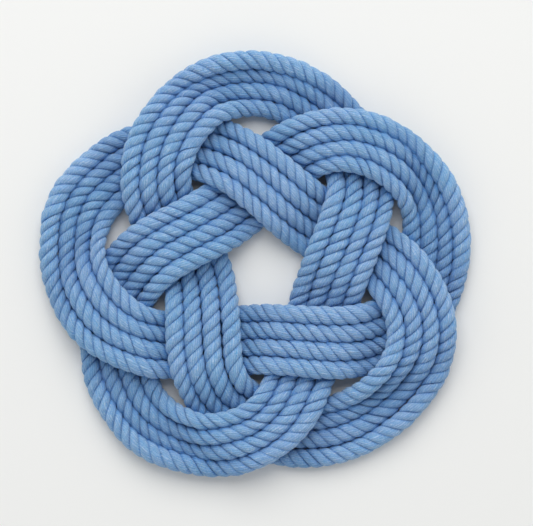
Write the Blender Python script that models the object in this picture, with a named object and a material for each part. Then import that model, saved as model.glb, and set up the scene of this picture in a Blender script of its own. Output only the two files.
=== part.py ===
"""A flat knotted rope mat: a Turk's head of five lobes, with one rope followed round four times.

The mat lies in the XY plane, its underside is at Z = 0 and its middle is at the origin.
The route and the sizes below are in millimetres, and the model is built in metres.
"""
import math

import bpy
import numpy as np
from mathutils import Matrix, Vector
from mathutils.kdtree import KDTree

MM = 0.001

# The rope
TUBE_DIAMETER = 5.3        # the firm core of a 6.2 mm rope that its neighbours squeeze
SIDE_GAP = 0.55            # least gap between two passes that lie side by side
LAYER_GAP = 1.2            # gap between two passes where one crosses the other
CLIMB_LENGTH = 12.0        # run in which the rope climbs on to one that it crosses at right angles
CIRCUITS = 4               # times that the rope follows its own lead
FLAT_SHARE = 0.1           # share of the diameter that is cut flat where the rope lies down

# The seam, where each circuit moves over into the next lane and both ends are tucked under
SHIFT_LENGTH = 54.0        # the run in which a pass moves over by one lane
END_SETBACK = 1.5          # how far each end stops short of the seam's middle
RUN_ON = 5.0               # how far the lane of each end is kept free past it
END_LIFT = 0.75            # how far an end is raised, so that its whipping clears the table

# The twine
TUFT_LENGTH = 1.0          # bare rope past the whipping
WHIPPING_LENGTH = 6.0      # turned part of each rope end
WHIPPING_SQUEEZE = 0.3     # how much less its diameter is than the rope's, which it binds
WHIPPING_DIAMETER = TUBE_DIAMETER - WHIPPING_SQUEEZE
WHIPPING_WALL = 0.5
WHIPPING_SIDES = 24
TWINE_DIAMETER = 0.6
STITCH_LENGTH = 3.0        # one stitch of the lacing, there and back
STITCHES = 3
STITCH_SWING = 0.15        # how far the lacing swings to each side of the groove that it lies in
PART_GAP = 0.3             # gap between touching pieces, and between the lacing and the table

# How finely the solid follows the route
TRACE_STEP = 0.7           # spacing of the points that the route is worked out on
TURN_PER_POINT = math.radians(16)
LONGEST_STEP = 12.0
SETTLED_GAP = 0.55          # gap to which passes that come too near each other are moved apart
SETTLING_ROUNDS = 60

# The lead: x, y, width of an outer lane, width of an inner lane.
# It runs clockwise down the middle of the lanes, and starts at the seam under the top lobe.
# It is drawn with room for four lanes, and grows with the count of circuits.
LANES_DRAWN = 4
LEAD = [
    (-32.0, 40.0, 6.1, 6.1), (-17.6, 39.8, 5.9, 5.9), (-4.3, 33.9, 5.8, 5.8),
    (7.7, 24.3, 5.9, 5.9), (19.6, 15.0, 6.0, 6.1), (31.5, 8.6, 5.9, 6.0),
    (43.3, 2.2, 5.6, 5.9), (51.5, -7.1, 5.9, 5.8), (56.8, -18.8, 5.8, 6.4),
    (56.5, -30.2, 5.8, 6.5), (49.4, -41.6, 6.0, 5.4), (37.0, -51.1, 6.2, 5.2),
    (23.9, -56.6, 6.5, 5.1), (10.8, -57.0, 6.6, 5.5), (-2.0, -54.0, 6.3, 6.2),
    (-12.7, -47.5, 5.9, 6.5), (-17.2, -38.2, 6.0, 6.7), (-18.5, -26.4, 6.3, 6.8),
    (-18.9, -14.7, 6.1, 6.6), (-20.5, -3.7, 6.0, 6.2), (-26.8, 9.5, 6.1, 6.1),
    (-33.2, 21.9, 6.1, 6.1), (-34.1, 32.2, 6.2, 6.1), (-32.4, 40.8, 6.1, 6.5),
    (-27.2, 50.3, 5.7, 6.5), (-18.2, 59.3, 5.2, 5.9), (-4.3, 62.2, 5.6, 5.6),
    (9.4, 60.7, 5.3, 5.7), (19.7, 55.3, 5.5, 5.9), (29.7, 45.0, 5.7, 6.0),
    (35.6, 35.0, 5.9, 6.1), (37.0, 25.3, 5.6, 6.2), (34.4, 13.9, 5.7, 6.3),
    (30.3, 3.2, 5.8, 6.3), (26.1, -7.5, 5.9, 6.3), (19.7, -27.8, 5.9, 6.1),
    (14.2, -40.2, 5.9, 6.1), (8.1, -51.0, 6.0, 6.0), (0.1, -58.2, 5.9, 5.9),
    (-8.9, -61.4, 5.9, 5.8), (-18.2, -62.3, 5.6, 5.8), (-27.5, -60.4, 5.8, 5.9),
    (-36.5, -54.7, 5.8, 6.0), (-43.4, -47.5, 5.7, 6.3), (-47.2, -38.8, 6.0, 6.6),
    (-49.4, -28.2, 5.7, 6.5), (-49.6, -16.1, 5.9, 6.4), (-44.4, -5.2, 6.2, 6.2),
    (-36.2, 2.7, 6.1, 6.1), (-23.7, 10.7, 6.1, 6.1), (-11.7, 16.9, 6.1, 6.1),
    (2.5, 28.4, 5.9, 5.9), (12.7, 37.4, 5.9, 5.9), (22.1, 41.2, 5.8, 5.8),
    (32.3, 42.3, 5.9, 6.0), (44.9, 38.6, 5.4, 6.0), (54.9, 30.7, 5.1, 5.9),
    (61.1, 20.3, 5.3, 5.8), (63.0, 9.8, 5.5, 5.8), (62.2, -0.9, 5.6, 6.0),
    (58.4, -12.6, 5.9, 6.2), (51.5, -21.3, 6.2, 6.3), (43.9, -24.7, 6.2, 6.2),
    (32.5, -27.1, 6.2, 6.3), (18.7, -26.8, 6.3, 6.2), (4.9, -26.3, 6.2, 5.9),
    (-4.8, -26.2, 6.2, 5.8), (-18.6, -27.1, 6.1, 5.7), (-32.0, -27.4, 6.2, 5.6),
    (-43.4, -24.4, 6.3, 5.7), (-51.7, -19.5, 6.3, 5.9), (-58.1, -11.6, 6.0, 5.9),
    (-61.6, -2.3, 6.0, 5.9), (-62.5, 8.1, 6.0, 5.8), (-61.2, 17.7, 5.9, 6.1),
    (-56.5, 25.0, 5.8, 5.8), (-46.6, 33.2, 5.9, 6.1),
]
MIDDLE = (0.42, 0.07)      # the finished mat's middle, as x and y of the lead

# Colours
ROPE_BLUE = (0.165, 0.335, 0.640, 1.0)
TWINE_CREAM = (0.620, 0.540, 0.400, 1.0)


def ease(t):
    """Rises smoothly from 0 to 1 while t does."""
    t = np.clip(t, 0.0, 1.0)
    return t**3 * (t * (6.0 * t - 15.0) + 10.0)


def lengths_along(points):
    """Distance of each point from the first, along the line through them."""
    steps = np.linalg.norm(np.diff(points, axis=0), axis=1)
    return np.concatenate([[0.0], np.cumsum(steps)])


def closed_spline(rows, step):
    """Cubic spline through the rows, closed on itself, with samples about a step apart."""
    rows = np.array(rows)
    count = len(rows)
    spans = np.linalg.norm(np.roll(rows, -1, 0)[:, :2] - rows[:, :2], axis=1)
    matrix = np.zeros((count, count))
    right = np.zeros(rows.shape)
    for i in range(count):
        after = (i + 1) % count
        matrix[i, i - 1] += spans[i - 1]
        matrix[i, i] += 2.0 * (spans[i - 1] + spans[i])
        matrix[i, after] += spans[i]
        right[i] = 6.0 * ((rows[after] - rows[i]) / spans[i] - (rows[i] - rows[i - 1]) / spans[i - 1])
    bends = np.linalg.solve(matrix, right)
    samples = []
    for i in range(count):
        after = (i + 1) % count
        span = spans[i]
        pieces = max(2, round(span / step))
        for done in span * np.arange(pieces) / pieces:
            left = span - done
            curved = (bends[i] * left**3 + bends[after] * done**3) / (6.0 * span)
            straight = (rows[i] / span - bends[i] * span / 6.0) * left
            straight += (rows[after] / span - bends[after] * span / 6.0) * done
            samples.append(curved + straight)
    return np.array(samples)


def trace_lead():
    """The lead's points, its left-hand normals, both lane widths and the distance from the seam."""
    samples = closed_spline(LEAD, TRACE_STEP)
    xy = (samples[:, :2] - MIDDLE) * CIRCUITS / LANES_DRAWN
    ahead = np.roll(xy, -1, 0) - np.roll(xy, 1, 0)
    ahead /= np.linalg.norm(ahead, axis=1)[:, None]
    normals = np.stack([-ahead[:, 1], ahead[:, 0]], axis=1)
    widths = np.maximum(samples[:, 2:], TUBE_DIAMETER + SIDE_GAP)
    along = lengths_along(np.vstack([xy, xy[:1]]))
    return xy, normals, widths, along[:-1], along[-1]


def lane_points(lead, places, offsets):
    """Points at the given distances along the lead, set over to its left by so many lanes."""
    xy, normals, widths, along, whole = lead
    grid = np.append(along, whole)
    places = np.mod(places, whole)
    values = []
    for column in (xy[:, 0], xy[:, 1], normals[:, 0], normals[:, 1], widths[:, 0], widths[:, 1]):
        values.append(np.interp(places, grid, np.append(column, column[0])))
    x, y, normal_x, normal_y, outer, inner = values
    over = offsets * np.where(offsets > 0.0, outer, inner)
    return np.stack([x + normal_x * over, y + normal_y * over], axis=1)


def lane_offsets(travelled, whole):
    """The lane, in lane widths left of the lead, at each distance travelled along it."""
    circuit = np.floor(travelled / whole)
    since = travelled - circuit * whole
    moved = ease((since + SHIFT_LENGTH / 2.0) / SHIFT_LENGTH)
    moved += ease((since - whole + SHIFT_LENGTH / 2.0) / SHIFT_LENGTH)
    return (CIRCUITS + 1) / 2.0 - circuit - moved


def crossings(first, second):
    """Where two lines of points cross: fractional indices on the first and on the second."""
    start_a, step_a = first[:-1, None], np.diff(first, axis=0)[:, None]
    start_b, step_b = second[None, :-1], np.diff(second, axis=0)[None]
    apart = start_b - start_a
    cross = step_a[..., 0] * step_b[..., 1] - step_a[..., 1] * step_b[..., 0]
    cross = np.where(np.abs(cross) < 1e-12, np.inf, cross)
    on_a = (apart[..., 0] * step_b[..., 1] - apart[..., 1] * step_b[..., 0]) / cross
    on_b = (apart[..., 0] * step_a[..., 1] - apart[..., 1] * step_a[..., 0]) / cross
    rows, columns = np.nonzero((on_a >= 0) & (on_a < 1) & (on_b >= 0) & (on_b < 1))
    neighbours = (first is second) & (np.abs(rows - columns) < 2)
    rows, columns = rows[~neighbours], columns[~neighbours]
    return rows + on_a[rows, columns], columns + on_b[rows, columns]


def lead_passes(lead):
    """Distances from the seam at which the lead crosses itself; every second one is a pass over."""
    xy, _, _, along, whole = lead
    closed = np.vstack([xy, xy[:1]])
    found, _ = crossings(closed, closed)
    places = np.sort(np.interp(found, np.arange(len(closed)), np.append(along, whole)))
    nearest = np.minimum(places, whole - places).argmin()
    return np.roll(places, -nearest)


def rope_heights(lead, travelled, flat):
    """Height of the rope's centre line over the table, from its passes over and under itself."""
    whole = lead[-1]
    passes = lead_passes(lead)
    ahead = np.gradient(flat, axis=0)
    ahead /= np.linalg.norm(ahead, axis=1)[:, None]
    pieces = np.array_split(np.arange(len(flat)), 2 * CIRCUITS)
    events = []
    for piece in pieces:
        line = flat[piece[0]:piece[-1] + 2]
        for other in pieces:
            other_line = line if other[0] == piece[0] else flat[other[0]:other[-1] + 2]
            for here, there in zip(*crossings(line, other_line)):
                way, other_way = ahead[piece[0] + int(here)], ahead[other[0] + int(there)]
                sine = abs(way[0] * other_way[1] - way[1] * other_way[0])
                events.append((piece[0] + here, sine))
    places, sines = np.array(sorted(events)).T
    circuits_done = np.interp(places, np.arange(len(flat)), travelled) / whole
    away = np.abs(np.mod(circuits_done, 1.0)[:, None] - (passes / whole)[None])
    index = np.minimum(away, 1.0 - away).argmin(axis=1)

    # Runs of crossings that belong to one pass, each from its first crossing to its last
    rope_along = lengths_along(flat)
    places = np.interp(places, np.arange(len(flat)), rope_along)
    first = np.flatnonzero(np.diff(index, prepend=-1))
    last = np.append(first[1:], len(index)) - 1

    rise = np.zeros(len(flat))
    for i in range(1, len(first) - 1):
        if index[first[i]] % 2 == 0:
            continue
        begins, ends = places[first[i]], places[last[i]]
        before = min(CLIMB_LENGTH / sines[first[i]], begins - places[last[i - 1]])
        after = min(CLIMB_LENGTH / sines[last[i]], places[first[i + 1]] - ends)
        climb = ease(1.0 - (begins - rope_along) / before)
        descent = ease(1.0 - (rope_along - ends) / after)
        rise = np.maximum(rise, np.minimum(climb, descent))
    lowest = TUBE_DIAMETER * (0.5 - FLAT_SHARE)
    return lowest + rise * (TUBE_DIAMETER + LAYER_GAP)


def trace_rope():
    """The rope's centre line from end to end, on points close together."""
    lead = trace_lead()
    whole = lead[-1]
    count = round((CIRCUITS * whole + 2.0 * RUN_ON) / TRACE_STEP)
    travelled = np.linspace(-RUN_ON, CIRCUITS * whole + RUN_ON, count)
    offsets = lane_offsets(travelled, whole)
    flat = lane_points(lead, travelled, offsets)
    heights = rope_heights(lead, travelled, flat)
    inside = (travelled >= END_SETBACK) & (travelled <= CIRCUITS * whole - END_SETBACK)
    return lead, travelled[inside], np.column_stack([flat, heights])[inside]


def thin_out(points):
    """Indices of the points that the tube needs: close together only where the rope bends."""
    steps = np.diff(points, axis=0)
    runs = np.linalg.norm(steps, axis=1)
    ahead = steps / runs[:, None]
    kept = [0]
    turned = 0.0
    gone = 0.0
    for i in range(1, len(points) - 1):
        gone += runs[i - 1]
        turned += math.acos(min(1.0, float(ahead[i - 1] @ ahead[i])))
        if turned > TURN_PER_POINT or gone > LONGEST_STEP:
            kept.append(i)
            turned = 0.0
            gone = 0.0
    return kept + [len(points) - 1]


def nearest_passes(points, step):
    """For places a step apart along a tube: point before, share of the next, way to the nearest
    place on another pass, and its distance, which is infinite where there's none close by."""
    along = lengths_along(points)
    even = np.linspace(0.0, along[-1], int(along[-1] / step))
    before = np.clip(np.searchsorted(along, even, side="right") - 1, 0, len(points) - 2)
    share = (even - along[before]) / (along[before + 1] - along[before])
    dense = points[before] * (1.0 - share)[:, None] + points[before + 1] * share[:, None]
    tree = KDTree(len(dense))
    for i, place in enumerate(dense):
        tree.insert(place, i)
    tree.balance()
    own_pass = 3.0 * TUBE_DIAMETER / (even[1] - even[0])
    way = np.zeros(dense.shape)
    distance = np.full(len(dense), math.inf)
    for i, place in enumerate(dense):
        for other, j, apart in tree.find_range(place, 1.3 * TUBE_DIAMETER):
            if apart < distance[i] and abs(i - j) > own_pass:
                distance[i] = apart
                way[i] = np.array(other) - place
    return before, share, way, distance


def settle(points):
    """Moves the passes apart, a little at a time, until each has its gap to the next.

    The straight tips, of three points each, stay where they are.
    """
    points = points.copy()
    lowest = points[:, 2].min()
    for _ in range(SETTLING_ROUNDS):
        before, share, way, distance = nearest_passes(points, 2.0 * TRACE_STEP)
        short = np.maximum(TUBE_DIAMETER + SETTLED_GAP - distance, 0.0)
        near = short > 0.0
        if not near.any():
            break
        push = -way * (0.5 * short / distance)[:, None]
        moves = np.zeros(points.shape)
        weights = np.zeros(len(points))
        for index, weight in ((before, 1.0 - share), (before + 1, share)):
            np.add.at(moves, index[near], (push * weight[:, None])[near])
            np.add.at(weights, index[near], weight[near])
        moves[:3] = 0.0
        moves[-3:] = 0.0
        points += moves / np.maximum(weights, 1.0)[:, None]
        points[:, 2] = np.maximum(points[:, 2], lowest)
    return points


def straighten_tip(points):
    """The points with the first one's stretch made straight, and raised, for its whipping."""
    along = lengths_along(points)
    straight = TUFT_LENGTH + WHIPPING_LENGTH + 3.0 * PART_GAP
    kept = points[along > straight + TUBE_DIAMETER]
    inner = np.array([np.interp(straight, along, points[:, axis]) for axis in range(3)])
    tip = points[0] + (0.0, 0.0, END_LIFT)
    inner[2] += END_LIFT
    neck_end = inner + (tip - inner) * PART_GAP / straight
    return np.vstack([tip, neck_end, inner, kept])


def material(name, colour, roughness):
    """A plain matt material."""
    result = bpy.data.materials.new(name)
    result.use_nodes = True
    shader = result.node_tree.nodes["Principled BSDF"]
    shader.inputs["Base Color"].default_value = colour
    shader.inputs["Roughness"].default_value = roughness
    shader.inputs["Metallic"].default_value = 0.0
    result.diffuse_color = colour
    return result


def tube(name, points, radii, diameter, colour):
    """A round cord along the points (millimetres), with a radius at each as a share of its own."""
    curve = bpy.data.curves.new(name, "CURVE")
    curve.dimensions = "3D"
    curve.bevel_depth = diameter / 2.0 * MM
    curve.bevel_resolution = 1
    curve.use_fill_caps = True
    curve.resolution_u = 1
    curve.render_resolution_u = 0
    spline = curve.splines.new("POLY")
    spline.points.add(len(points) - 1)
    for control, place, radius in zip(spline.points, points, radii):
        control.co = (*(place * MM), 1.0)
        control.radius = radius
    result = bpy.data.objects.new(name, curve)
    bpy.context.collection.objects.link(result)
    curve.materials.append(material(name, colour, 0.9))
    return result


def cut_flat(cord):
    """A mesh object like the cord, cut level with the table where it lies on it."""
    shape = bpy.data.meshes.new_from_object(cord.evaluated_get(bpy.context.evaluated_depsgraph_get()))
    name = cord.name
    bpy.data.objects.remove(cord)
    result = bpy.data.objects.new(name, shape)
    bpy.context.collection.objects.link(result)
    side = 4.0 * max(abs(c) for corner in result.bound_box for c in corner)
    bpy.ops.mesh.primitive_cube_add(size=side, location=(0.0, 0.0, -side / 2.0))
    below = bpy.context.active_object
    below.name = "below_the_table"
    below.hide_render = True
    below.display_type = "WIRE"
    cut = result.modifiers.new("Flat underside", "BOOLEAN")
    cut.operation = "DIFFERENCE"
    cut.solver = "EXACT"
    cut.object = below
    return result


def whipping(name, tip, inner):
    """A sleeve of twine turns round the rope end between its tip and an inner point."""
    ahead = Vector(inner - tip).normalized()
    outer = WHIPPING_DIAMETER / 2.0 * MM
    bore = outer - WHIPPING_WALL * MM
    corners = []
    for radius, place in ((outer, 0.0), (outer, WHIPPING_LENGTH), (bore, WHIPPING_LENGTH), (bore, 0.0)):
        for i in range(WHIPPING_SIDES):
            angle = math.tau * i / WHIPPING_SIDES
            corners.append((radius * math.cos(angle), radius * math.sin(angle), place * MM))
    faces = []
    for ring in range(4):
        for i in range(WHIPPING_SIDES):
            after = (i + 1) % WHIPPING_SIDES
            here, there = ring * WHIPPING_SIDES, (ring + 1) % 4 * WHIPPING_SIDES
            faces.append((here + i, here + after, there + after, there + i))
    shape = bpy.data.meshes.new(name)
    shape.from_pydata(corners, [], faces)
    shape.materials.append(material(name, TWINE_CREAM, 0.85))
    result = bpy.data.objects.new(name, shape)
    start = Vector(tip * MM) + ahead * TUFT_LENGTH * MM
    result.matrix_world = Matrix.Translation(start) @ ahead.to_track_quat("Z", "Y").to_matrix().to_4x4()
    bpy.context.collection.objects.link(result)
    return result


def lacing(name, lead, begins, towards, beside):
    """Twine that sews a rope end to its neighbour, in the groove under the two."""
    count = 2 * STITCHES + 1
    places = begins + towards * STITCH_LENGTH / 2.0 * np.arange(count)
    swing = STITCH_SWING * (-1.0) ** np.arange(count)
    centre = lane_points(lead, places, lane_offsets(places, lead[-1]) + beside / 2.0)
    normals = lane_points(lead, places, lane_offsets(places, lead[-1]) + beside) - centre
    normals /= np.linalg.norm(normals, axis=1)[:, None]
    height = np.full(count, TWINE_DIAMETER / 2.0 + PART_GAP)
    points = np.column_stack([centre + normals * swing[:, None], height])
    return tube(name, points, np.ones(count), TWINE_DIAMETER, TWINE_CREAM)


for old in list(bpy.data.objects):
    bpy.data.objects.remove(old)

lead, travelled, traced = trace_rope()
traced = traced[thin_out(traced)]
rope_points = settle(straighten_tip(straighten_tip(traced)[::-1])[::-1])
neck = (WHIPPING_DIAMETER / 2.0 - WHIPPING_WALL - PART_GAP) / (TUBE_DIAMETER / 2.0)
rope_radii = np.ones(len(rope_points))
rope_radii[[0, 1, -2, -1]] = neck
rope = cut_flat(tube("rope", rope_points, rope_radii, TUBE_DIAMETER, ROPE_BLUE))

whipping("start_whipping", rope_points[0], rope_points[1])
whipping("end_whipping", rope_points[-1], rope_points[-2])
sewn_from = END_SETBACK + TUFT_LENGTH + WHIPPING_LENGTH + 4.0 * PART_GAP
lacing("start_lacing", lead, sewn_from, 1.0, -1.0)
lacing("end_lacing", lead, CIRCUITS * lead[-1] - sewn_from, -1.0, 1.0)

gap = nearest_passes(rope_points, TRACE_STEP)[3].min() - TUBE_DIAMETER
print(f"rope: {lengths_along(rope_points)[-1] / 1000.0:.3f} m long, least gap to itself {gap:.2f} mm")
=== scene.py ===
"""The look of a flat knotted rope mat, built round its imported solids.

The mat is one laid cotton rope: it follows its own lead four times round a knot of five lobes.
The route and the sizes are in millimetres, and the pieces are built in metres.
"""
import math

import bpy
import numpy as np
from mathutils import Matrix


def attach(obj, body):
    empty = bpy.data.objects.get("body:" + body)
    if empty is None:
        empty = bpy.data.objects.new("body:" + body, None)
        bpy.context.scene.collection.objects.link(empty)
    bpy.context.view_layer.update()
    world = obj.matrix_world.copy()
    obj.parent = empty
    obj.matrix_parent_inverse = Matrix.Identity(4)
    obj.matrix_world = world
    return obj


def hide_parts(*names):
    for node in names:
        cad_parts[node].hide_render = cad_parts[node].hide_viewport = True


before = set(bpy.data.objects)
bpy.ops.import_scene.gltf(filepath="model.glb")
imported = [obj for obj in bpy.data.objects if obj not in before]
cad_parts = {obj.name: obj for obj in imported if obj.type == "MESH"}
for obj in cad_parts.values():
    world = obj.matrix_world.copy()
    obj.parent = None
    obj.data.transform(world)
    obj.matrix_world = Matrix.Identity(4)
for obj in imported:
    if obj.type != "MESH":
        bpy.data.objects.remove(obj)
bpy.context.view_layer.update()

MM = 0.001

# The rope
ROPE_DIAMETER = 6.7        # over the crowns of its strands
LAY_LENGTH = 12.5          # one whole turn of a strand round the rope
STRANDS = 3
GROOVE_DEPTH = 1.15        # from the crowns of two strands down to the groove between them
STRAND_FULLNESS = 2.4      # 2 for a round crown, more for a flatter one
SIDE_FILL = 0.5            # share of the grooves' depth that is pressed away at the rope's sides
SIDE_FILL_POWER = 4        # more keeps that nearer to the very sides
SIDE_PRESS = 0.5           # how far two passes that lie side by side press into each other
LEAST_SQUEEZE = 0.88       # least share of its width to which the rope is pressed
OWN_STRETCH = 15.0         # run to each side of a place that counts as the same pass
VALLEY_REACH = 1.5         # how far out from a pass the next one is given painted shade towards it
SHADE_REACH = 15.0         # how far out from a higher pass the ones beside it are given painted shade
SHADE_DEPTH = 2.0          # how much higher it is, weighed by its nearness, for the darkest painted shade
SHADE_ROUNDING = 2.0       # rings over which that painted shade is evened out
YARN_WIDTH = 0.8
YARN_STRAY = 0.9           # the most that a yarn strays to the side
YARN_FRAY = 0.12           # how far the yarns' backs stand out of a groove's painted shade, in half strands
YARN_ANGLE = math.radians(12)   # between the yarns and the rope's own direction
STRAND_SPACING = 100.0     # between two strands in the map of the yarns
CROSSING_RISE = 5.6        # how much higher a pass is where it lies on another
TABLE_SINK = 0.4           # how far the rope's underside is pressed flat by its own weight
CLIMB_LENGTH = 15.0        # run in which the rope climbs on to one that it crosses at right angles
CLIMB_ROUNDING = 3.5       # how far a climb's ends are rounded by the rope's stiffness
CIRCUITS = 4

# How uneven the rope is: by how much, and the run in which that changes
LAY_UNEVENNESS = (0.35, 40.0)      # an angle in radians
ROPE_UNEVENNESS = (0.012, 6.0)     # this and the others are shares
STRAND_UNEVENNESS = (0.025, 3.0)
GROOVE_UNEVENNESS = (0.25, 4.0)
SURFACE_UNEVENNESS = (0.012, 0.8)
SEED = 7

# Lanes that ride up on the next one round a lobe:
# middle of the ride along the lead, its run to each side, the lane, and how much higher it lies
RIDES = [
    (143.0, 32.0, -1.5, 2.2), (138.0, 28.0, 1.5, 1.3), (336.0, 36.0, 1.5, 2.8),
    (524.0, 36.0, 1.5, 2.2), (708.0, 36.0, 1.5, 2.6), (896.0, 36.0, 1.5, 1.6),
]

# The seam, where each circuit moves over into the next lane and both ends are tucked under
SHIFT_LENGTH = 40.0        # run in which a circuit moves over
END_SETBACK = 1.5          # how far short of the seam the rope is cut off
RUN_ON = 5.0               # how far its line runs on past the seam while its heights are worked out

# The rope's tied ends
TUFT_LENGTH = 1.0          # of the rope past its whipping
TUFT_SPREAD = 0.25         # share by which that spreads towards its cut end
TUFT_ROUNDING = 0.5        # share of the tuft in which its cut end is rounded off
TUFT_FACE = 0.05           # share of that rounding that is cut off flat
WHIPPING_LENGTH = 6.0
WHIPPING_BORE = 3.8        # diameter to which the rope is drawn in by its whipping
NECK_LENGTH = 4.0          # run in which it widens again
TIP_POINTS = 8             # points from the tip by which the rope's direction there is told
TIP_BLEND = 14.0           # run in which the straight tip turns into the lane
TWINE_DIAMETER = 0.6
TWINE_PLIES = 2
TWINE_GROOVE = 0.09        # depth of the groove between its plies
TWINE_LAY = 1.8            # one whole turn of a ply
STITCHES = 3
STITCH_LENGTH = 3.0        # run of one stitch, there and back
STITCH_SWING = 1.5         # how far it reaches to each side
STITCH_DIVE = 1.1          # how far a stitch rises into the rope at its sides
STITCH_DIVE_POWER = 4      # more keeps that nearer to its sides

# How finely the rope and the twine are drawn
TRACE_STEP = 0.7
TRACE_ROUNDING = 0.8       # how far the traced line's kinks are rounded
RINGS_PER_TURN = 18
SIDES_PER_STRAND = 10
RINGS_PER_TWINE_LAY = 8
SIDES_PER_PLY = 5
POINTS_PER_WHIPPING_TURN = 24
POINTS_PER_STITCH = 16
SHARPEST_SMOOTH_EDGE = math.radians(50)
PARALLEL = 1e-12           # two steps with a smaller cross product can't meet

# The lead: x, y, width of an outer lane, width of an inner lane.
# It runs clockwise down the middle of the four lanes, and starts at the seam under the top lobe.
LEAD = [
    (-32.0, 40.0, 6.1, 6.1), (-17.6, 39.8, 5.9, 5.9), (-4.3, 33.9, 5.8, 5.8),
    (7.7, 24.3, 5.9, 5.9), (19.6, 15.0, 6.0, 6.1), (31.5, 8.6, 5.9, 6.0),
    (43.3, 2.2, 5.6, 5.9), (51.5, -7.1, 5.9, 5.8), (57.0, -18.8, 5.7, 6.2),
    (56.4, -30.2, 5.9, 5.9), (49.3, -41.5, 6.5, 4.9), (37.6, -52.2, 6.2, 5.2),
    (24.0, -57.2, 6.5, 5.2), (10.8, -57.2, 6.6, 5.5), (-2.0, -54.0, 6.3, 6.2),
    (-12.3, -47.1, 5.5, 6.5), (-16.8, -38.1, 5.8, 6.7), (-18.5, -26.4, 6.2, 6.8),
    (-18.9, -14.7, 6.1, 6.6), (-20.5, -3.7, 6.0, 6.2), (-26.8, 9.5, 6.1, 6.1),
    (-33.2, 21.9, 6.1, 6.0), (-33.8, 32.2, 6.2, 5.8), (-31.9, 40.6, 6.1, 5.9),
    (-26.7, 49.9, 5.6, 5.9), (-18.0, 58.7, 5.0, 6.1), (-4.3, 62.6, 5.0, 5.9),
    (9.5, 61.0, 4.9, 5.9), (19.7, 55.3, 5.4, 5.9), (29.7, 45.0, 5.7, 6.0),
    (35.6, 35.0, 5.9, 6.1), (37.0, 25.3, 5.6, 6.2), (34.4, 13.9, 5.6, 6.3),
    (30.3, 3.2, 5.6, 6.3), (26.1, -7.5, 5.7, 6.2), (19.7, -27.8, 5.8, 5.8),
    (14.4, -40.3, 6.0, 5.5), (8.3, -51.2, 6.0, 5.4), (0.1, -58.2, 5.8, 5.4),
    (-8.9, -61.4, 5.8, 5.3), (-18.2, -62.3, 5.3, 5.3), (-27.6, -60.4, 5.1, 5.6),
    (-37.1, -55.4, 5.3, 5.9), (-43.6, -47.6, 5.3, 6.1), (-47.2, -38.8, 5.9, 6.6),
    (-49.4, -28.2, 5.7, 6.5), (-49.6, -16.1, 5.9, 6.4), (-44.2, -5.4, 6.1, 6.2),
    (-36.2, 2.7, 6.1, 6.1), (-23.6, 10.5, 5.7, 6.1), (-11.7, 16.9, 5.9, 6.1),
    (2.5, 28.4, 5.9, 5.9), (12.7, 37.4, 5.9, 5.8), (22.2, 41.0, 5.8, 5.1),
    (32.3, 42.1, 5.6, 5.2), (44.9, 38.6, 5.0, 5.4), (54.9, 30.7, 4.9, 5.4),
    (61.1, 20.3, 5.0, 5.6), (63.0, 9.8, 5.4, 6.0), (62.2, -0.9, 5.6, 6.1),
    (58.4, -12.6, 5.6, 6.2), (51.5, -21.3, 5.8, 6.3), (43.9, -24.7, 6.2, 6.2),
    (32.5, -27.1, 6.2, 6.2), (18.7, -26.8, 6.2, 6.0), (4.9, -26.1, 6.0, 5.9),
    (-4.8, -26.2, 6.2, 5.8), (-18.6, -27.1, 6.1, 5.7), (-32.0, -27.4, 6.2, 5.5),
    (-43.3, -24.2, 6.2, 5.5), (-51.5, -19.3, 6.4, 5.9), (-57.9, -11.5, 6.3, 5.8),
    (-61.6, -2.3, 6.2, 5.4), (-62.5, 8.1, 6.0, 5.4), (-61.0, 17.6, 5.9, 5.9),
    (-56.5, 25.0, 5.7, 6.0), (-46.6, 33.2, 5.9, 6.1),
]
MIDDLE = (0.42, 0.07)      # the mat's middle, as x and y of the lead

# The photograph's frame
VIEW_WIDTH = 183.9         # what its width takes in, at the height of the rope's middle
VIEW_CENTRE = (3.27, 0.07, 6.0)
VIEW_DISTANCE = 700.0
SENSOR = 36.0
NEAREST_SEEN = 10.0

# The table, and the room's light; places and sizes of the light are in metres
TABLE_SIZE = 4000.0
TABLE_DROP = 0.05          # how far the table lies under the rope's flattened side
WINDOW_PLACE = (-0.05, 0.97, 1.15)
WINDOW_SIZE = 1.3
WINDOW_POWER = 16.8
SIDE_LIGHT = 0.79
OVERHEAD_LIGHT = 0.2
SIDE_RISE = 0.6            # sine of the height over the horizon up to which the sides' light reaches
OVERHEAD_RISE = 0.95       # the same, from which on there is only the light from overhead

# Colours
DYES = ((0.203, 0.464, 0.742, 1.0), (0.268, 0.480, 0.762, 1.0))
RUBBED = (0.92, 0.92, 0.95, 1.0)
# Pale loose fibres, whose colour also serves as a painted highlight
FIBRE = (0.80, 0.84, 0.93, 1.0)
SHEEN = (0.80, 0.90, 1.0, 1.0)
TWINE_COLOURS = ((0.52, 0.44, 0.31, 1.0), (0.70, 0.63, 0.48, 1.0))
TABLE_COLOUR = (0.87, 0.87, 0.85, 1.0)
ROOM_COLOUR = (0.98, 0.99, 1.0, 1.0)

# What each of the rope's colours is multiplied by, for darker tone and for painted shade
DARK_TONE_AND_SHADE_BY = (0.58, 0.74, 0.86, 1.0)
GROOVE_SHADE_BY = (0.26, 0.59, 0.89, 1.0)
UNDER_PASS_SHADE_BY = (0.27, 0.42, 0.58, 1.0)

# How far each layer takes the rope's colour towards its own, where it shows most
RUBBED_SHARE = 0.25
YARN_TONE_SHARE = 0.45
YARN_LINE_SHADE_SHARE = 0.95
HOLLOW_SHADE_SHARE = 0.25
FIBRE_AND_HIGHLIGHT_SHARE = 0.30
GROOVE_SHADE_SHARE = 0.5
VALLEY_SHADE_SHARE = 0.7
UNDER_PASS_SHADE_SHARE = 0.42

# Spots to the metre in the rope's dye, its fluff and the twine's soil
DYE_SCALE = 45.0
FLUFF_SCALE = 1500.0
SOIL_SCALE = 900.0

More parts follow.
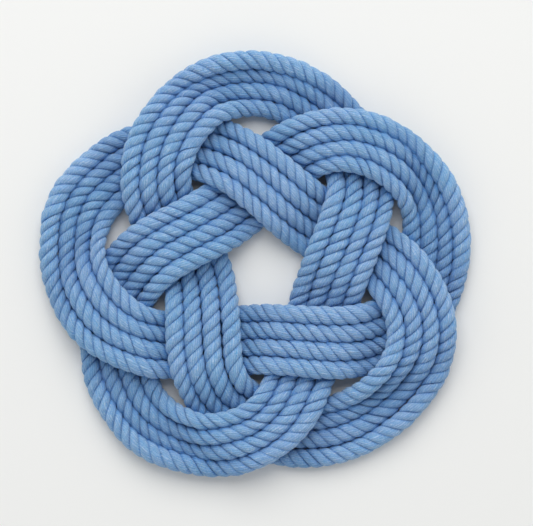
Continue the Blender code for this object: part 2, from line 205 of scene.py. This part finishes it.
# The weight of each layer in the rope's relief, and the depth of the rope's and the twine's
YARN_RELIEF = 0.9
PATCH_RELIEF = 1.3
FIBRE_RELIEF = 0.8
FLUFF_RELIEF = 1.6
RELIEF_DEPTH = 0.2
TWINE_RELIEF_DEPTH = 0.08

# How the rope takes the light
ROUGHNESS = (0.95, 0.82)   # between its fibres and on them
COTTON = {
    "Sheen Weight": 0.22, "Sheen Roughness": 0.45, "Sheen Tint": SHEEN, "Specular IOR Level": 0.25,
    "Subsurface Weight": 0.3, "Subsurface Radius": (0.4, 0.6, 1.0), "Subsurface Scale": 0.7 * MM,
}


def ease(t):
    """Rises smoothly from 0 to 1 while t does."""
    t = np.clip(t, 0.0, 1.0)
    return t**3 * (t * (6.0 * t - 15.0) + 10.0)


def lengths_along(points):
    """Distance of each point from the first, along the line through them."""
    steps = np.linalg.norm(np.diff(points, axis=0), axis=1)
    return np.concatenate([[0.0], np.cumsum(steps)])


def closed_spline(rows, step):
    """Cubic spline through the rows, closed on itself, with samples about a step apart."""
    rows = np.array(rows)
    count = len(rows)
    spans = np.linalg.norm(np.roll(rows, -1, 0)[:, :2] - rows[:, :2], axis=1)
    matrix = np.zeros((count, count))
    right = np.zeros(rows.shape)
    for i in range(count):
        after = (i + 1) % count
        matrix[i, i - 1] += spans[i - 1]
        matrix[i, i] += 2.0 * (spans[i - 1] + spans[i])
        matrix[i, after] += spans[i]
        right[i] = 6.0 * ((rows[after] - rows[i]) / spans[i] - (rows[i] - rows[i - 1]) / spans[i - 1])
    bends = np.linalg.solve(matrix, right)
    samples = []
    for i in range(count):
        after = (i + 1) % count
        span = spans[i]
        pieces = max(2, round(span / step))
        for done in span * np.arange(pieces) / pieces:
            left = span - done
            curved = (bends[i] * left**3 + bends[after] * done**3) / (6.0 * span)
            straight = (rows[i] / span - bends[i] * span / 6.0) * left
            straight += (rows[after] / span - bends[after] * span / 6.0) * done
            samples.append(curved + straight)
    return np.array(samples)


def trace_lead():
    """The lead's points, its left-hand normals, both lane widths and the distance from the seam."""
    samples = closed_spline(LEAD, TRACE_STEP)
    xy = samples[:, :2] - MIDDLE
    ahead = np.roll(xy, -1, 0) - np.roll(xy, 1, 0)
    ahead /= np.linalg.norm(ahead, axis=1)[:, None]
    normals = np.stack([-ahead[:, 1], ahead[:, 0]], axis=1)
    along = lengths_along(np.vstack([xy, xy[:1]]))
    return xy, normals, samples[:, 2:], along[:-1], along[-1]


def lane_points(lead, places, offsets):
    """Points at the given distances along the lead, set over to its left by so many lanes.

    Also the width of the lane at each.
    """
    xy, normals, widths, along, whole = lead
    grid = np.append(along, whole)
    places = np.mod(places, whole)
    values = []
    for column in (xy[:, 0], xy[:, 1], normals[:, 0], normals[:, 1], widths[:, 0], widths[:, 1]):
        values.append(np.interp(places, grid, np.append(column, column[0])))
    x, y, normal_x, normal_y, outer, inner = values
    width = np.where(offsets > 0.0, outer, inner)
    over = offsets * width
    return np.stack([x + normal_x * over, y + normal_y * over], axis=1), width


def lane_offsets(travelled, whole):
    """The lane, in lane widths left of the lead, at each distance travelled along it."""
    circuit = np.floor(travelled / whole)
    since = travelled - circuit * whole
    moved = ease((since + SHIFT_LENGTH / 2.0) / SHIFT_LENGTH)
    moved += ease((since - whole + SHIFT_LENGTH / 2.0) / SHIFT_LENGTH)
    return (CIRCUITS + 1) / 2.0 - circuit - moved


def crossings(first, second):
    """Where two lines of points cross: fractional indices on the first and on the second."""
    start_a, step_a = first[:-1, None], np.diff(first, axis=0)[:, None]
    start_b, step_b = second[None, :-1], np.diff(second, axis=0)[None]
    apart = start_b - start_a
    cross = step_a[..., 0] * step_b[..., 1] - step_a[..., 1] * step_b[..., 0]
    cross = np.where(np.abs(cross) < PARALLEL, np.nan, cross)
    on_a = (apart[..., 0] * step_b[..., 1] - apart[..., 1] * step_b[..., 0]) / cross
    on_b = (apart[..., 0] * step_a[..., 1] - apart[..., 1] * step_a[..., 0]) / cross
    rows, columns = np.nonzero((on_a >= 0) & (on_a < 1) & (on_b >= 0) & (on_b < 1))
    neighbours = (first is second) & (np.abs(rows - columns) < 2)
    rows, columns = rows[~neighbours], columns[~neighbours]
    return rows + on_a[rows, columns], columns + on_b[rows, columns]


def lead_passes(lead):
    """Distances from the seam at which the lead crosses itself; every second one is a pass over."""
    xy, _, _, along, whole = lead
    closed = np.vstack([xy, xy[:1]])
    found, _ = crossings(closed, closed)
    places = np.sort(np.interp(found, np.arange(len(closed)), np.append(along, whole)))
    nearest = np.minimum(places, whole - places).argmin()
    return np.roll(places, -nearest)


def rope_heights(lead, travelled, flat):
    """Height of the rope's centre line over the table, from its passes over and under itself."""
    whole = lead[-1]
    passes = lead_passes(lead)
    ahead = np.gradient(flat, axis=0)
    ahead /= np.linalg.norm(ahead, axis=1)[:, None]
    pieces = np.array_split(np.arange(len(flat)), 2 * CIRCUITS)
    events = []
    for piece in pieces:
        line = flat[piece[0]:piece[-1] + 2]
        for other in pieces:
            other_line = line if other[0] == piece[0] else flat[other[0]:other[-1] + 2]
            for here, there in zip(*crossings(line, other_line)):
                way, other_way = ahead[piece[0] + int(here)], ahead[other[0] + int(there)]
                sine = abs(way[0] * other_way[1] - way[1] * other_way[0])
                events.append((piece[0] + here, sine))
    places, sines = np.array(sorted(events)).T
    circuits_done = np.interp(places, np.arange(len(flat)), travelled) / whole
    away = np.abs(np.mod(circuits_done, 1.0)[:, None] - (passes / whole)[None])
    index = np.minimum(away, 1.0 - away).argmin(axis=1)

    # Runs of crossings that belong to one pass, each from its first crossing to its last
    rope_along = lengths_along(flat)
    places = np.interp(places, np.arange(len(flat)), rope_along)
    first = np.flatnonzero(np.diff(index, prepend=-1))
    last = np.append(first[1:], len(index)) - 1

    rise = np.zeros(len(flat))
    for i in range(1, len(first) - 1):
        if index[first[i]] % 2 == 0:
            continue
        begins, ends = places[first[i]], places[last[i]]
        before = min(CLIMB_LENGTH / sines[first[i]], begins - places[last[i - 1]])
        after = min(CLIMB_LENGTH / sines[last[i]], places[first[i + 1]] - ends)
        climb = ease(1.0 - (begins - rope_along) / before)
        descent = ease(1.0 - (rope_along - ends) / after)
        rise = np.maximum(rise, np.minimum(climb, descent))

    rise = smooth(rise, CLIMB_ROUNDING / TRACE_STEP)
    return ROPE_DIAMETER / 2.0 - TABLE_SINK + rise * CROSSING_RISE


def ride_lifts(travelled, whole):
    """How much higher the rope lies where its lane rides up on the next one."""
    lanes = lane_offsets(travelled, whole)
    lifts = np.zeros(len(travelled))
    for middle, run, lane, lift in RIDES:
        share = ease(1.0 - np.abs(np.mod(travelled, whole) - middle) / run)
        lifts += np.where(np.abs(lanes - lane) < 0.5, lift * share, 0.0)
    return lifts


def trace_rope():
    """The rope's centre line from end to end on points close together, and its lane width."""
    lead = trace_lead()
    whole = lead[-1]
    count = round((CIRCUITS * whole + 2.0 * RUN_ON) / TRACE_STEP)
    travelled = np.linspace(-RUN_ON, CIRCUITS * whole + RUN_ON, count)
    flat, widths = lane_points(lead, travelled, lane_offsets(travelled, whole))
    lifts = ride_lifts(travelled, whole)
    heights = rope_heights(lead, travelled, flat) + lifts

    # A pass that rides up is pressed less by its neighbours
    widths += lifts
    inside = (travelled >= END_SETBACK) & (travelled <= CIRCUITS * whole - END_SETBACK)
    return np.column_stack([flat, heights])[inside], widths[inside]


def smooth(values, reach):
    """The values, each a weighted mean of its neighbours up to three reaches away."""
    span = int(3.0 * reach) + 1
    weights = np.exp(-0.5 * (np.arange(-span, span + 1) / reach) ** 2)
    weights /= weights.sum()
    padded = np.pad(values, [(span, span)] + [(0, 0)] * (values.ndim - 1), mode="edge")
    if values.ndim == 1:
        return np.convolve(padded, weights, mode="valid")
    columns = [np.convolve(padded[:, i], weights, mode="valid") for i in range(values.shape[1])]
    return np.stack(columns, axis=1)


def wander(rng, shape, step, unevenness):
    """Random values of the given size that change smoothly over the given run; rows are a step apart."""
    size, run = unevenness
    values = smooth(rng.standard_normal(shape), run / step)
    return size * (values / values.std())


def resampled(points, step):
    """The points, spaced evenly by about a step, and the distance of each along the line."""
    along = lengths_along(points)
    even = np.linspace(0.0, along[-1], int(along[-1] / step) + 1)
    return np.stack([np.interp(even, along, points[:, axis]) for axis in range(3)], axis=1), even


def strand_corners(strands, sides):
    """Angles of a laid rope's corners round its section, from groove to groove of each strand.

    Also the place of each across its strand, from -1 at one groove to 1 at the other.
    """
    across = np.sin(np.linspace(-math.pi / 2.0, math.pi / 2.0, sides + 1))[:-1]
    angles = [math.tau * strand / strands + across * math.pi / strands for strand in range(strands)]
    return np.concatenate(angles), np.tile(across, strands)


def swept(name, centre, side, up, over, high):
    """A closed surface through rings of corners, each set off from the centre line at its ring.

    A corner that would lie under the table is raised to it. Also the ring and column of each face.
    """
    corners = centre[:, None] + side[:, None] * over[..., None] + up[:, None] * high[..., None]
    corners[..., 2] = np.maximum(corners[..., 2], 0.0)
    rings, sides = over.shape
    ring, column = np.meshgrid(np.arange(rings - 1), np.arange(sides), indexing="ij")
    after = (column + 1) % sides
    faces = np.stack([ring * sides + column, (ring + 1) * sides + column,
                      (ring + 1) * sides + after, ring * sides + after], axis=-1).reshape(-1, 4)
    caps = [list(range(sides)), [rings * sides - 1 - i for i in range(sides)]]
    shape = bpy.data.meshes.new(name)
    shape.from_pydata((corners.reshape(-1, 3) * MM).tolist(), [], faces.tolist() + caps)
    shape.polygons.foreach_set("use_smooth", np.ones(len(shape.polygons), dtype=bool))
    shape.set_sharp_from_angle(angle=SHARPEST_SMOOTH_EDGE)
    result = bpy.data.objects.new(name, shape)
    bpy.context.collection.objects.link(result)
    return result, ring, column


def frames(centre, hint):
    """Unit vectors to the line's side and up from it, the latter as near the hint as can be."""
    ahead = np.gradient(centre, axis=0)
    ahead /= np.linalg.norm(ahead, axis=1)[:, None]
    side = np.cross(ahead, hint)
    side /= np.linalg.norm(side, axis=1)[:, None]
    return side, np.cross(side, ahead)


def point_values(shape, name, values):
    """Keeps a number for each corner of the surface, which its material reads."""
    shape.attributes.new(name, "FLOAT", "POINT").data.foreach_set("value", values.ravel())


def yarn_map(shape, ring, column, along, across):
    """Maps each strand's surface: along its yarns and across them, in millimetres."""
    slope = math.pi * ROPE_DIAMETER / LAY_LENGTH
    half_arc = math.pi * ROPE_DIAMETER / 2.0 / STRANDS
    sides = SIDES_PER_STRAND
    strand = column // sides
    left = across[column] * half_arc
    right = np.append(across[1:sides], 1.0)[column % sides] * half_arc
    near, far = along[ring], along[ring + 1]
    lean, reach = math.sin(YARN_ANGLE), math.cos(YARN_ANGLE)
    corners = []
    for place, arc in ((near, left), (far, left), (far, right), (near, right)):
        around = arc - place * slope
        corners.append(np.stack([place * reach - around * lean,
                                 place * lean + around * reach + strand * STRAND_SPACING], axis=-1))
    mapped = np.zeros((len(shape.loops), 2))
    count = 4 * ring.size
    mapped[:count] = np.stack(corners, axis=2).reshape(-1, 2)
    shape.uv_layers.new(name="Yarns").data.foreach_set("uv", mapped.ravel())


def narrowed(along, whole):
    """Share of its full width that the rope has: less inside the whippings, least at the cut ends."""
    from_end = np.minimum(along, whole - along)
    bound = TUFT_LENGTH + WHIPPING_LENGTH
    neck = WHIPPING_BORE / ROPE_DIAMETER
    share = neck + (1.0 - neck) * ease((from_end - bound) / NECK_LENGTH)
    tuft = np.clip(from_end / TUFT_LENGTH, 0.0, 1.0)
    spread = 1.0 + TUFT_SPREAD * (1.0 - ease(tuft))
    rounding = 1.0 - np.clip(tuft / TUFT_ROUNDING, TUFT_FACE, 1.0)
    return share * spread * np.sqrt(1.0 - rounding**2)


def surroundings(corners, centre, along):
    """How near another pass lies to each corner of the rope: 0 for clear of it, 1 for pressed by it.

    Also how much higher the passes beside and over it are, from 0 to 1. Both say where the rope's colour
    gets painted shade.
    """
    near = np.zeros(corners.shape[:2])
    low = np.zeros(corners.shape[:2])
    for ring, place in enumerate(centre):
        apart = np.linalg.norm((centre - place)[:, :2], axis=1)
        around = (apart < SHADE_REACH) & (np.abs(along - along[ring]) > OWN_STRETCH)
        others = centre[around]
        if len(others):
            distances = np.linalg.norm(corners[ring][:, None] - others, axis=2)
            gaps = distances.min(axis=1) - ROPE_DIAMETER / 2.0
            near[ring] = 1.0 - gaps / VALLEY_REACH
            share = 1.0 - apart[around] / SHADE_REACH
            low[ring] = (share * (others[:, 2] - place[2])).max() / SHADE_DEPTH
    return np.clip(near, 0.0, 1.0), smooth(np.clip(low, 0.0, 1.0), SHADE_ROUNDING)


def build_rope(name, points, widths):
    """The rope's surface: three strands that wind round the line of the points."""
    rng = np.random.default_rng(SEED)
    centre, even = resampled(points, LAY_LENGTH / RINGS_PER_TURN)
    step = even[1]
    centre = smooth(centre, TRACE_ROUNDING / step)
    width = np.interp(even, lengths_along(points), widths)
    rings = len(centre)
    side, up = frames(centre, (0.0, 0.0, 1.0))

    angles, across = strand_corners(STRANDS, SIDES_PER_STRAND)
    phase = -math.tau * even / LAY_LENGTH + wander(rng, rings, step, LAY_UNEVENNESS)
    swell = 1.0 + wander(rng, rings, step, ROPE_UNEVENNESS)
    swell *= narrowed(even, even[-1])
    squeeze = np.clip((width + SIDE_PRESS) / ROPE_DIAMETER, LEAST_SQUEEZE, 1.0)
    strand_swell = 1.0 + wander(rng, (rings, STRANDS), step, STRAND_UNEVENNESS)
    tightness = 1.0 + wander(rng, (rings, STRANDS), step, GROOVE_UNEVENNESS)
    lumps = 1.0 + wander(rng, (rings, len(angles)), step, SURFACE_UNEVENNESS)
    angles = angles + phase[:, None]
    depth = GROOVE_DEPTH * (1.0 - SIDE_FILL * np.cos(angles) ** SIDE_FILL_POWER)
    depth *= np.repeat(tightness, SIDES_PER_STRAND, axis=1)
    radius = ROPE_DIAMETER / 2.0 * np.repeat(strand_swell, SIDES_PER_STRAND, axis=1) * lumps
    radius = (radius - depth * np.abs(across) ** STRAND_FULLNESS) * swell[:, None]
    over, high = radius * np.cos(angles) * squeeze[:, None], radius * np.sin(angles)
    result, ring, column = swept(name, centre, side, up, over, high)
    yarn_map(result.data, ring, column, even, across)
    # Where the material paints shade: near the grooves, where passes lie against each other, and beside
    # higher passes
    point_values(result.data, "groove", np.tile(np.abs(across), rings))
    corners = centre[:, None] + side[:, None] * over[..., None] + up[:, None] * high[..., None]
    near, low = surroundings(corners, centre, even)
    point_values(result.data, "valley", near)
    point_values(result.data, "low", low)
    return result, centre


def build_twine(name, points, hint):
    """Laid twine along the points; the hint is the way up, for the whole line or for each point."""
    centre, even = resampled(points, TWINE_LAY / RINGS_PER_TWINE_LAY)
    along = lengths_along(points)
    hint = np.broadcast_to(hint, points.shape)
    hint = np.stack([np.interp(even, along, hint[:, axis]) for axis in range(3)], axis=1)
    side, up = frames(centre, hint)
    angles, across = strand_corners(TWINE_PLIES, SIDES_PER_PLY)
    angles = angles - (math.tau * even / TWINE_LAY)[:, None]
    radius = TWINE_DIAMETER / 2.0 - TWINE_GROOVE * np.abs(across) ** STRAND_FULLNESS
    return swept(name, centre, side, up, radius * np.cos(angles), radius * np.sin(angles))[0]


def long_axis(node):
    """Middle of a long slim solid, in millimetres, and its direction."""
    corners = np.array([corner.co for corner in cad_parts[node].data.vertices]) / MM
    middle = (corners.min(axis=0) + corners.max(axis=0)) / 2.0
    return middle, np.linalg.svd(corners - corners.mean(axis=0), full_matrices=False)[2][0]


def tied_tip(points, node):
    """The points with their first stretch led straight through the whipping's solid."""
    middle, axis = long_axis(node)
    axis = axis * np.sign(axis @ (points[TIP_POINTS] - points[0]))
    along = lengths_along(points)
    straight = middle + axis * (along - TUFT_LENGTH - WHIPPING_LENGTH / 2.0)[:, None]
    share = ease((along - TUFT_LENGTH - WHIPPING_LENGTH) / TIP_BLEND)[:, None]
    return straight * (1.0 - share) + points * share


def build_whipping(name, node):
    """Close turns of twine round a rope end."""
    middle, axis = long_axis(node)
    across = np.cross(axis, (0.0, 0.0, 1.0))
    across /= np.linalg.norm(across)
    above = np.cross(across, axis)
    turns = round(WHIPPING_LENGTH / TWINE_DIAMETER) - 1
    share = np.linspace(0.0, 1.0, turns * POINTS_PER_WHIPPING_TURN)
    angle = math.tau * turns * share
    way = np.cos(angle)[:, None] * across + np.sin(angle)[:, None] * above
    run = (share - 0.5) * (WHIPPING_LENGTH - TWINE_DIAMETER)
    points = middle + run[:, None] * axis + way * (WHIPPING_BORE + TWINE_DIAMETER) / 2.0
    return build_twine(name, points, way)


def build_lacing(name, node):
    """Stitches from one rope to the next, across the groove that the solid lies in."""
    middle, line = long_axis(node)
    across = np.cross(line, (0.0, 0.0, 1.0))
    share = np.linspace(-0.5, 0.5, STITCHES * POINTS_PER_STITCH + 1)
    swing = np.sin(share * math.tau * STITCHES)
    points = middle + (share * STITCHES * STITCH_LENGTH)[:, None] * line
    points += (swing * STITCH_SWING)[:, None] * across
    points[:, 2] = TWINE_DIAMETER / 2.0 + STITCH_DIVE * np.abs(swing) ** STITCH_DIVE_POWER
    return build_twine(name, points, (0.0, 0.0, 1.0))


def add(tree, kind, inputs=(), **settings):
    """A new node with its settings; an input is given by name or number, as a value or a socket."""
    made = tree.nodes.new(kind)
    for name, value in settings.items():
        setattr(made, name, value)
    for name, value in dict(inputs).items():
        if isinstance(value, bpy.types.NodeSocket):
            tree.links.new(value, made.inputs[name])
        else:
            made.inputs[name].default_value = value
    return made


def maths(tree, operation, *values):
    """The result of a Math node."""
    return add(tree, "ShaderNodeMath", dict(enumerate(values)), operation=operation).outputs[0]


def mixed(tree, amount, first, second, blend="MIX"):
    """The result of two colours mixed; 6, 7 and 2 are the Mix node's sockets for colours."""
    made = add(tree, "ShaderNodeMix", {0: amount, 6: first, 7: second},
               data_type="RGBA", blend_type=blend)
    return made.outputs[2]


def remap(tree, value, low, high, to_low=0.0, to_high=1.0):
    """The value, moved smoothly from one range to another and kept inside it."""
    made = add(tree, "ShaderNodeMapRange",
               {"Value": value, "From Min": low, "From Max": high, "To Min": to_low, "To Max": to_high},
               interpolation_type="SMOOTHSTEP")
    return made.outputs[0]


def speckles(tree, place, scale, detail):
    """The value of a noise that is alike in all directions."""
    made = add(tree, "ShaderNodeTexNoise", {"Vector": place, "Scale": scale, "Detail": detail})
    return made.outputs["Fac"]


def rope_material():
    """Blue dyed cotton: strands of fine yarns, paler where the fibres are rubbed, with painted shade in
    its grooves and hollows and beside higher passes.
    """
    made = bpy.data.materials.new("blue_cotton_rope")
    made.use_nodes = True
    tree = made.node_tree
    shader = tree.nodes["Principled BSDF"]

    yarns = add(tree, "ShaderNodeUVMap", uv_map="Yarns").outputs[0]
    split = add(tree, "ShaderNodeSeparateXYZ", {0: yarns})
    along, across = split.outputs[0], split.outputs[1]
    edge = add(tree, "ShaderNodeAttribute", attribute_name="groove").outputs["Fac"]
    valley = add(tree, "ShaderNodeAttribute", attribute_name="valley").outputs["Fac"]
    low = add(tree, "ShaderNodeAttribute", attribute_name="low").outputs["Fac"]

    def streaks(per_mm_along, per_mm_across, detail, beside=across):
        """Noise that is drawn out along the yarns."""
        stretched = add(tree, "ShaderNodeCombineXYZ", {
            0: maths(tree, "MULTIPLY", along, per_mm_along),
            1: maths(tree, "MULTIPLY", beside, per_mm_across)})
        noise = add(tree, "ShaderNodeTexNoise",
                    {"Vector": stretched.outputs[0], "Scale": 1.0, "Detail": detail, "Roughness": 0.6},
                    noise_dimensions="2D")
        return noise.outputs["Fac"]

    # Each yarn has its own tone and a round back, and strays a little to the side
    stray = maths(tree, "MULTIPLY_ADD", streaks(0.12, 0.5, 1.0), YARN_STRAY, across)
    lane = maths(tree, "DIVIDE", stray, YARN_WIDTH)
    tone = add(tree, "ShaderNodeTexWhiteNoise", {"W": maths(tree, "FLOOR", lane)},
               noise_dimensions="1D").outputs["Value"]
    back = maths(tree, "ABSOLUTE", maths(tree, "SINE", maths(tree, "MULTIPLY", lane, math.pi)))
    patches = streaks(0.55, 1.3, 3.0, stray)
    fibres = streaks(1.8, 7.0, 2.0, stray)

    place = add(tree, "ShaderNodeTexCoord").outputs["Object"]
    dye = speckles(tree, place, DYE_SCALE, 3.0)
    fluff = speckles(tree, place, FLUFF_SCALE, 3.0)

    # Uneven dye, rubbed patches and each yarn's tone; painted shade in the lines between yarns and in the
    # hollows; pale loose fibres, partly a painted highlight
    colour = mixed(tree, remap(tree, dye, 0.3, 0.7), *DYES)
    dark_tone_and_shade = mixed(tree, 1.0, colour, DARK_TONE_AND_SHADE_BY, "MULTIPLY")
    paler = mixed(tree, RUBBED_SHARE, colour, RUBBED)
    colour = mixed(tree, remap(tree, patches, 0.2, 0.8, 0.15, 1.0), dark_tone_and_shade, paler)
    colour = mixed(tree, maths(tree, "MULTIPLY", tone, YARN_TONE_SHARE), colour, dark_tone_and_shade)
    colour = mixed(tree, remap(tree, back, 0.0, 0.8, YARN_LINE_SHADE_SHARE, 0.0), colour, dark_tone_and_shade)
    colour = mixed(tree, remap(tree, fluff, 0.5, 0.35, 0.0, HOLLOW_SHADE_SHARE), colour, dark_tone_and_shade)
    colour = mixed(tree, remap(tree, fibres, 0.45, 0.75, 0.0, FIBRE_AND_HIGHLIGHT_SHARE), colour, FIBRE)

    # Painted shade in the grooves between strands, and where passes lie against each other
    groove_shade = mixed(tree, 1.0, colour, GROOVE_SHADE_BY, "MULTIPLY")
    edge = maths(tree, "MULTIPLY_ADD", back, -YARN_FRAY, edge)
    colour = mixed(tree, remap(tree, edge, 0.6, 1.0, 0.0, GROOVE_SHADE_SHARE), colour, groove_shade)
    colour = mixed(tree, maths(tree, "MULTIPLY", valley, VALLEY_SHADE_SHARE), colour, groove_shade)

    # Painted shade beside and under higher passes
    painted_pass_shade = mixed(tree, 1.0, colour, UNDER_PASS_SHADE_BY, "MULTIPLY")
    colour = mixed(tree, maths(tree, "MULTIPLY", low, UNDER_PASS_SHADE_SHARE), colour, painted_pass_shade)
    tree.links.new(colour, shader.inputs["Base Color"])

    # Relief of the yarns, their patches, their fibres and the fluff
    height = maths(tree, "MULTIPLY", back, YARN_RELIEF)
    for relief, weight in ((patches, PATCH_RELIEF), (fibres, FIBRE_RELIEF), (fluff, FLUFF_RELIEF)):
        height = maths(tree, "ADD", height, maths(tree, "MULTIPLY", relief, weight))
    bump = add(tree, "ShaderNodeBump", {"Height": height, "Strength": 1.0, "Distance": RELIEF_DEPTH * MM})
    tree.links.new(bump.outputs[0], shader.inputs["Normal"])
    tree.links.new(remap(tree, fibres, 0.3, 0.7, *ROUGHNESS), shader.inputs["Roughness"])
    for name, value in COTTON.items():
        shader.inputs[name].default_value = value
    return made


def twine_material():
    """Waxed cream twine, a little soiled."""
    made = bpy.data.materials.new("waxed_twine")
    made.use_nodes = True
    tree = made.node_tree
    shader = tree.nodes["Principled BSDF"]
    place = add(tree, "ShaderNodeTexCoord").outputs["Object"]
    soil = speckles(tree, place, SOIL_SCALE, 4.0)
    colour = mixed(tree, remap(tree, soil, 0.3, 0.7), *TWINE_COLOURS)
    tree.links.new(colour, shader.inputs["Base Color"])
    bump = add(tree, "ShaderNodeBump",
               {"Height": soil, "Strength": 0.6, "Distance": TWINE_RELIEF_DEPTH * MM})
    tree.links.new(bump.outputs[0], shader.inputs["Normal"])
    shader.inputs["Roughness"].default_value = 0.62
    return made


rope_points, lane_widths = trace_rope()
rope_points = tied_tip(rope_points, "start_whipping")
rope_points = tied_tip(rope_points[::-1], "end_whipping")[::-1]
rope, rope_line = build_rope("laid_rope", rope_points, lane_widths)
rope.data.materials.append(rope_material())
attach(rope, "root")
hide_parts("rope")

twine = twine_material()
for rope_end in ("start", "end"):
    for build, kind in ((build_whipping, "whipping"), (build_lacing, "lacing")):
        node = f"{rope_end}_{kind}"
        piece = build(f"{node}_twine", node)
        piece.data.materials.append(twine)
        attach(piece, "root")
        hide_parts(node)

# Camera
camera_data = bpy.data.cameras.new("camera")
camera = bpy.data.objects.new("camera", camera_data)
bpy.context.collection.objects.link(camera)
camera_data.sensor_fit = "HORIZONTAL"
camera_data.sensor_width = SENSOR
camera_data.lens = SENSOR * VIEW_DISTANCE / VIEW_WIDTH
camera.location = (VIEW_CENTRE[0] * MM, VIEW_CENTRE[1] * MM, (VIEW_CENTRE[2] + VIEW_DISTANCE) * MM)
camera_data.clip_start = NEAREST_SEEN * MM
bpy.context.scene.camera = camera

# Floor
bpy.ops.mesh.primitive_plane_add(size=TABLE_SIZE * MM, location=(0.0, 0.0, -TABLE_DROP * MM))
floor = bpy.context.active_object
floor.name = "floor"
white = bpy.data.materials.new("white_table")
white.use_nodes = True
table_shader = white.node_tree.nodes["Principled BSDF"]
table_shader.inputs["Base Color"].default_value = TABLE_COLOUR
table_shader.inputs["Roughness"].default_value = 0.7
floor.data.materials.append(white)

# Window, which faces the mat
window_data = bpy.data.lights.new("window", "AREA")
window_data.shape = "SQUARE"
window_data.size = WINDOW_SIZE
window_data.energy = WINDOW_POWER
window = bpy.data.objects.new("window", window_data)
window.location = WINDOW_PLACE
window.rotation_euler = (-window.location).to_track_quat("-Z", "Y").to_euler()
bpy.context.collection.objects.link(window)

# Room, from whose sides comes more light than from straight above
world = bpy.data.worlds.new("room")
bpy.context.scene.world = world
world.use_nodes = True
room = world.node_tree
background = room.nodes["Background"]
background.inputs["Color"].default_value = ROOM_COLOUR
way = add(room, "ShaderNodeTexCoord").outputs["Generated"]
rising = add(room, "ShaderNodeSeparateXYZ", {0: way}).outputs[2]
level = remap(room, rising, SIDE_RISE, OVERHEAD_RISE, SIDE_LIGHT, OVERHEAD_LIGHT)
room.links.new(level, background.inputs["Strength"])

bpy.context.scene.view_settings.view_transform = "Standard"
